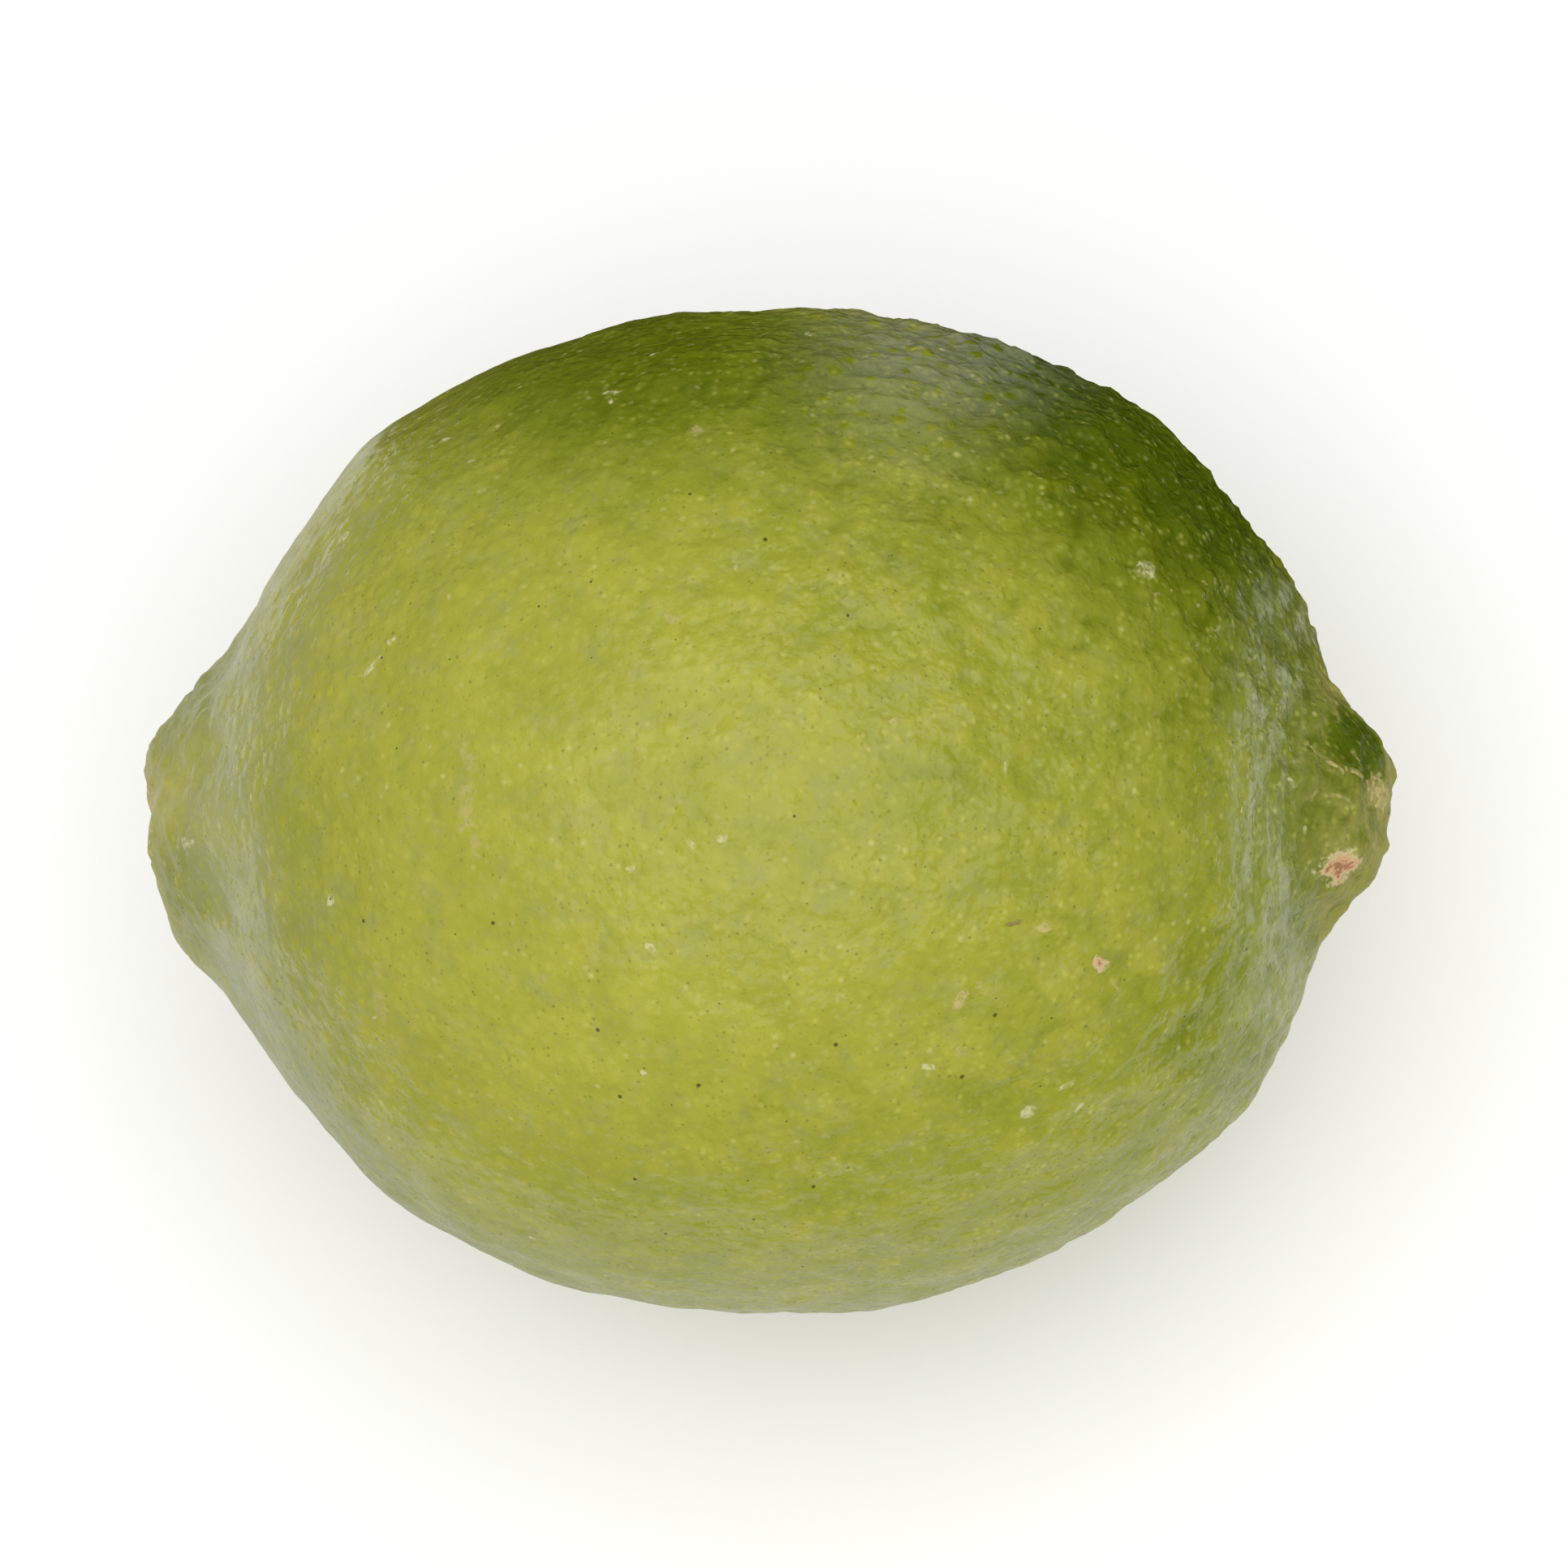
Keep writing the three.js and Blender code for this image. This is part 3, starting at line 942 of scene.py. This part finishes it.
        # the painted grey sheen of the waists
        self.write(mesh, "waist", "POINT", self.waists(directions))
        index, _ = self.nearest(glands, middles)
        owner = np.repeat(index, 4)
        self.write(mesh, "gland", "CORNER", (base[corner] - glands[owner]) / sizes[owner][:, None])
        self.write(mesh, "glow", "CORNER", rng.beta(*self.gland_glow, len(glands))[owner])
        self.write(mesh, "mark", "CORNER", self.mark_coordinates(base, corner, middles))
        self.write(mesh, "speck", "CORNER", self.speck_coordinates(base, corner, middles, rng))
        mesh.shade_smooth()
        return rind, Vector(middle)

    def fit(
        self, base: np.ndarray, points: np.ndarray, target: tuple[Vector, Vector]
    ) -> tuple[np.ndarray, np.ndarray]:
        """Finds where the fruit's middle stands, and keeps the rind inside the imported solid's box.

        Args:
            base: The smooth surface's points about the fruit's middle, in millimetres.
            points: The rind's own points.
            target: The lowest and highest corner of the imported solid, in metres.

        Returns:
            The middle in metres, and the points that fit the box, with the flat spot that the fruit rests on.
        """
        low, high = (np.array(corner) / MM for corner in target)
        middle = (low + high - base.min(0) - base.max(0)) / 2
        middle[2] = low[2] + self.form.girth_radius - self.form.flat_depth
        low, high = low - middle, high - middle
        spare = np.append((low / points.min(0))[:2], high / points.max(0)).min()
        points = points * min(1.0, spare)
        points[:, 2] = np.maximum(points[:, 2], low[2])
        return middle * MM, points

    def waists(self, directions: np.ndarray) -> np.ndarray:
        """How strong the painted grey sheen is in the waists beside the nipple and the nose: the nipple's is
        strongest on top.

        Args:
            directions: Unit vectors from the middle of the fruit.

        Returns:
            A strength for each direction, which is 1 in the nipple's waist.
        """
        on_top = 1 / (1 + np.exp(-(directions[:, 2] + 0.1) * 15))
        at_nipple = np.degrees(angle_between(directions, self.form.nipple.axis())) - self.nipple_waist
        at_nose = np.degrees(angle_between(directions, self.form.nose.axis())) - self.nose_waist
        return (0.4 + 0.6 * on_top) * bell(at_nipple, 5.5, 2.5) + 2.2 * bell(at_nose, 8, 2.5)

    def coarseness(self, directions: np.ndarray) -> np.ndarray:
        """How coarse the pebbling is.

        Args:
            directions: Unit vectors from the middle of the fruit.

        Returns:
            About 1 over the blossom end's +Y shoulder, and down to 0.2 towards the stem end.
        """
        blossom = 1 / (1 + np.exp(-directions[:, 0] * 5))
        shoulder = 1 / (1 + np.exp(-directions[:, 1] * 4))
        return 0.2 + blossom * (0.35 + 0.55 * shoulder)

    def relief(
        self,
        base: np.ndarray,
        coarse: np.ndarray,
        glands: np.ndarray,
        sizes: np.ndarray,
        heights: np.ndarray,
    ) -> tuple[np.ndarray, np.ndarray]:
        """The pebbling of the rind, its creases and its glands.

        Args:
            base: The smooth surface's points.
            coarse: How coarse the pebbling is at each point.
            glands: The place of each gland.
            sizes: The size of each gland beside the usual one.
            heights: How far each gland stands out, or sinks in where it is below zero.

        Returns:
            The height of each point in millimetres, and how much of a hollow it lies in.
        """
        # Where the rind is coarse, its pebbles and its glands stand out several times as far.
        index, away = self.nearest(glands, base)
        dome = heights[index] * bell(away / sizes[index], self.gland_radius, 2.5)
        rough = self.waves(base, self.pebble_length)
        fine = self.waves(base, self.pebble_length / 2, apart=50)
        pebbles = self.pebble_height * (rough * (0.2 + 0.8 * coarse) + fine * (0.08 + 0.82 * coarse**2))
        crease = np.zeros(len(base))
        for apart, length in ((90, self.crease_length), (170, self.crease_length * 0.6)):
            # A crease runs where the waves pass through 0, and others break it into short lengths.
            line = bell(self.waves(base, length, apart), self.crease_width)
            kept = np.clip(self.waves(base, length * 0.8, apart + 40) * 4, 0, 1)
            crease += line * kept * coarse
        relief = pebbles + (0.3 + 1.4 * coarse**2) * dome - self.crease_depth * crease
        return relief, 0.6 * crease - pebbles

    def knobbles(self, base: np.ndarray, dryness: np.ndarray) -> np.ndarray:
        """The lumps on the knobs at the two ends.

        Args:
            base: The smooth surface's points.
            dryness: How dry the skin is at each point.

        Returns:
            The height of each point in millimetres.
        """
        large = self.waves(base, self.knobble_length, apart=300)
        small = self.waves(base, self.knobble_length / 2)
        return self.knobble_height * np.clip(dryness / self.knobble_dryness, 0, 1) * (large + 0.4 * small)

    def waves(self, points: np.ndarray, length: float, apart: float = 0) -> np.ndarray:
        """Chance heights from -1 to 1 that rise and fall over a length. Waves taken far apart differ."""
        return np.array([noise.noise(Vector(point)) for point in (points + apart) / length])

    def mark_coordinates(self, base: np.ndarray, corner: np.ndarray, middles: np.ndarray) -> np.ndarray:
        """Finds each face corner's place on the nearest mark.

        Args:
            base: The smooth surface's points.
            corner: The vertex of each face corner.
            middles: The middle of each face.

        Returns:
            Three values for each face corner: its place along and across the mark, whose edge is 1, and the
            mark's kind.
        """
        chance = np.random.default_rng(self.seed + 1)
        scuffs = [
            Mark(
                math.degrees(math.acos(chance.uniform(-0.95, 0.95))),
                chance.uniform(0, 360),
                chance.uniform(*self.scuff_length),
                chance.uniform(*self.scuff_width),
                chance.uniform(0, 180),
                MarkKind.PALE_WAX if chance.random() < 0.3 else MarkKind.LACE,
            )
            for _ in range(self.scuffs)
        ]
        marks = [*MARKS, *scuffs]
        normals = np.array([place(mark.from_blossom, mark.around) for mark in marks])
        places = self.form.points(normals)
        index, _ = self.nearest(places, middles)
        owner = np.repeat(index, 4)
        axes = []
        for mark, normal in zip(marks, normals):
            towards, left = tangents(normal)
            turn = math.radians(mark.turned)
            long = towards * math.cos(turn) + left * math.sin(turn)
            axes.append((long / (mark.length / 2), np.cross(normal, long) / (mark.width / 2)))
        axes = np.array(axes)[owner]
        stray = np.stack([self.waves(base, self.wander_length, apart) for apart in (400, 500, 600)], 1)
        offset = (base + self.wander * stray)[corner] - places[owner]
        kind = np.array([mark.kind.value for mark in marks])[owner]
        return np.stack([(offset * axes[:, 0]).sum(1), (offset * axes[:, 1]).sum(1), kind], 1)

    def speck_coordinates(
        self, base: np.ndarray, corner: np.ndarray, middles: np.ndarray, rng: np.random.Generator
    ) -> np.ndarray:
        """Finds each face corner's place on the nearest speck.

        Args:
            base: The smooth surface's points.
            corner: The vertex of each face corner.
            middles: The middle of each face.
            rng: The source of chance.

        Returns:
            Its offset from the middle of the speck, in the speck's own radii.
        """
        known = np.array([place(*angles) for angles in DARK_SPECKS])
        places = self.form.points(np.concatenate([known, unit(rng.normal(size=(self.specks, 3)))]))
        large = rng.uniform(*self.large_speck_radius, len(known))
        radii = np.concatenate([large, rng.uniform(*self.speck_radius, self.specks)])
        index, _ = self.nearest(places, middles)
        owner = np.repeat(index, 4)
        return (base[corner] - places[owner]) / radii[owner][:, None]

    def write(self, mesh: bpy.types.Mesh, name: str, domain: str, values: np.ndarray) -> None:
        """Stores one value, or three, for each point or face corner under a name."""
        kind, key = ("FLOAT", "value") if values.ndim == 1 else ("FLOAT_VECTOR", "vector")
        mesh.attributes.new(name, kind, domain).data.foreach_set(key, values.astype(np.float32).ravel())


# ---- The studio ----


@dataclass(frozen=True)
class PaintedBoard:
    """Board painted matt white with a roller: it scatters light evenly, with a faint stipple."""

    colour: str = "eeeeec"
    roughness: float = 0.85
    stipple_length: float = 1.5  # millimetres from one bump of the roller's stipple to the next
    stipple_height: float = 0.02

    def material(self) -> bpy.types.Material:
        """Makes the floor's material.

        Returns:
            A material that reads Object coordinates.
        """
        material, add = start_material("matt_painted_board")
        where = add("ShaderNodeTexCoord", output="Object")
        stipple = add("ShaderNodeTexNoise", {"Vector": where, "Scale": 1 / (self.stipple_length * MM)})
        relief = {"Strength": 0.1, "Distance": self.stipple_height * MM, "Height": stipple}
        bump = add("ShaderNodeBump", relief)
        look = {"Base Color": linear(self.colour), "Roughness": self.roughness, "Normal": bump}
        board = add("ShaderNodeBsdfPrincipled", look)
        add("ShaderNodeOutputMaterial", {"Surface": board})
        return material


@dataclass(frozen=True)
class Felt:
    """Wool felt, pressed: it is quite matt."""

    colour: str = "060606"

    def material(self) -> bpy.types.Material:
        """Makes the flag's material.

        Returns:
            A plain matt material.
        """
        material, add = start_material("pressed_wool_felt")
        felt = add("ShaderNodeBsdfDiffuse", {"Color": linear(self.colour)})
        add("ShaderNodeOutputMaterial", {"Surface": felt})
        return material


@dataclass(frozen=True)
class LitCloth:
    """White tent cloth, woven, with lamps behind it: it glows evenly."""

    colour: str = "ffffff"
    glow: float = 0.25

    def material(self) -> bpy.types.Material:
        """Makes the tent's material.

        Returns:
            A material that gives light.
        """
        material, add = start_material("lit_tent_cloth")
        cloth = add("ShaderNodeEmission", {"Color": linear(self.colour), "Strength": self.glow})
        add("ShaderNodeOutputMaterial", {"Surface": cloth})
        return material


@dataclass(frozen=True)
class SoftBox:
    """A square light with a diffuser, aimed at the fruit. Lengths are metres."""

    name: str
    direction: tuple[float, float, float]
    distance: float
    size: float
    watts: float

    def build(self, centre: Vector) -> None:
        """Hangs the light, facing the fruit.

        Args:
            centre: The middle of the fruit.
        """
        data = bpy.data.lights.new(self.name, "AREA")
        data.shape = "SQUARE"
        data.size = self.size
        data.energy = self.watts
        lamp = bpy.data.objects.new(self.name, data)
        towards = Vector(self.direction).normalized()
        lamp.location = centre + towards * self.distance
        lamp.rotation_euler = towards.to_track_quat("Z", "Y").to_euler()
        bpy.context.scene.collection.objects.link(lamp)


@dataclass(frozen=True)
class Tent:
    """A white tent lit from outside, which nothing but the fruit's gloss sees. Lengths are metres.

    It is open between two angles, in degrees around the fruit from its +X side, up to a height.
    """

    radius: float = 2.95
    open_from: float = 16.0
    open_to: float = 132.0
    open_height: float = 2.0
    cloth: LitCloth = field(default_factory=LitCloth)

    def build(self) -> None:
        """Puts the tent up around the floor."""
        work = bmesh.new()
        bmesh.ops.create_uvsphere(work, u_segments=64, v_segments=32, radius=self.radius)
        bmesh.ops.reverse_faces(work, faces=work.faces)
        opening = []
        for face in work.faces:
            middle = face.calc_center_median()
            around = math.degrees(math.atan2(middle.y, middle.x))
            if self.open_from < around < self.open_to and middle.z < self.open_height:
                opening.append(face)
        bmesh.ops.delete(work, geom=opening, context="FACES")
        tent = set_out(work, "tent", self.cloth.material())
        show_to_gloss_alone(tent)


@dataclass(frozen=True)
class Flag:
    """Felt laid on the floor around the fruit, seen by nothing but its gloss. Lengths are metres.

    It is a ring, or the part of one between two angles in degrees around the fruit from its +X side.
    """

    name: str
    inner: float
    outer: float
    start: float = 0.0
    end: float = 360.0
    lift: float = 0.0001
    felt: Felt = field(default_factory=Felt)

    def build(self) -> None:
        """Lays the felt just over the floor."""
        work = bmesh.new()
        bmesh.ops.create_circle(work, segments=180, radius=self.inner)
        ring = bmesh.ops.extrude_edge_only(work, edges=work.edges[:])["geom"]
        rim = [item for item in ring if isinstance(item, bmesh.types.BMVert)]
        widening = self.outer / self.inner
        bmesh.ops.scale(work, verts=rim, vec=(widening, widening, 1))
        bmesh.ops.translate(work, verts=work.verts, vec=(0, 0, self.lift))
        if self.end - self.start < 180:
            for angle in (self.start - 90, self.end + 90):
                outward = Vector((math.cos(math.radians(angle)), math.sin(math.radians(angle)), 0))
                geometry = work.verts[:] + work.edges[:] + work.faces[:]
                bmesh.ops.bisect_plane(work, geom=geometry, plane_no=outward, clear_outer=True)
        flag = set_out(work, self.name, self.felt.material())
        show_to_gloss_alone(flag)


@dataclass
class Studio:
    """A pale floor under a white tent, soft boxes and a camera that looks down on the fruit.

    Lengths are metres, but for the camera's lens and sensor, which are millimetres.
    """

    floor_radius: float = 3.0
    floor_finish: PaintedBoard = field(default_factory=PaintedBoard)
    sky: float = 0.8
    tent: Tent = field(default_factory=Tent)
    boxes: tuple[SoftBox, ...] = (SoftBox("key", (0.1, -0.2, 0.95), 0.9, 1.2, 7.1),)
    flags: tuple[Flag, ...] = (
        # these keep the sheen off the deep green over the +Y shoulder, and off the middle slopes all round
        Flag("flag_behind", 0.002, 0.095, 20, 132),
        Flag("flag_ring", 0.095, 2.9),
        # and this one dulls it where the fruit turns under
        Flag("flag_near", 0.002, 0.06, lift=0.00005, felt=Felt("d0d0cc")),
    )
    lens: float = 135.0
    sensor: float = 36.0
    distance: float = 0.3038
    tilt: float = 15.0  # degrees from straight down, towards -Y
    turn: float = 8.0  # degrees then turned towards +X
    frame_pixels: float = 1932.0
    aim_pixels: tuple[float, float] = (950.1, 999.7)  # where the middle of the fruit stands in the frame

    def build(self, centre: Vector) -> None:
        """Builds the floor, the lights and the camera.

        Args:
            centre: The middle of the fruit.
        """
        self.build_floor()
        self.build_sky()
        self.tent.build()
        for flag in self.flags:
            flag.build()
        for box in self.boxes:
            box.build(centre)
        self.build_camera(centre)

    def build_floor(self) -> None:
        """Lays a round floor at the height that the fruit rests on."""
        work = bmesh.new()
        bmesh.ops.create_circle(work, cap_ends=True, segments=96, radius=self.floor_radius)
        floor = set_out(work, "floor", self.floor_finish.material())

    def build_sky(self) -> None:
        """Lights everything evenly, as the walls of a white tent do."""
        world = bpy.data.worlds.new("white_tent")
        bpy.context.scene.world = world
        world.use_nodes = True
        tree = world.node_tree
        tree.nodes.clear()
        sky = add_node(tree, "ShaderNodeBackground", {"Color": linear("ffffff"), "Strength": self.sky})
        add_node(tree, "ShaderNodeOutputWorld", {"Surface": sky})
        world.cycles_visibility.glossy = False

    def build_camera(self, centre: Vector) -> None:
        """Hangs the camera over the fruit.

        Args:
            centre: The middle of the fruit, which it looks at.
        """
        data = bpy.data.cameras.new("camera")
        data.lens = self.lens
        data.sensor_width = self.sensor
        data.clip_start = 0.01
        data.shift_x = (self.frame_pixels / 2 - self.aim_pixels[0]) / self.frame_pixels
        data.shift_y = (self.aim_pixels[1] - self.frame_pixels / 2) / self.frame_pixels
        tilted = Matrix.Rotation(math.radians(self.tilt), 4, "X")
        turned = tilted @ Matrix.Rotation(math.radians(self.turn), 4, "Y")
        camera = bpy.data.objects.new("camera", data)
        camera.matrix_world = Matrix.Translation(centre + turned.col[2].to_3d() * self.distance) @ turned
        bpy.context.scene.collection.objects.link(camera)
        bpy.context.scene.camera = camera


def main() -> None:
    """Builds the fruit and the studio in order, and reports each piece."""
    logging.basicConfig(level=logging.INFO, format="%(name)s: %(message)s")
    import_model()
    bpy.context.scene.view_settings.view_transform = "Standard"

    form = FruitForm()
    rind, middle = Rind(form).build(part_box("lime"))
    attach(rind, "root")
    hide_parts("lime")
    LOG.info("%s: %d faces", rind.name, len(rind.data.polygons))

    Studio().build(middle)
    LOG.info("studio: floor, lights and camera")


if __name__ == "__main__":
    main()
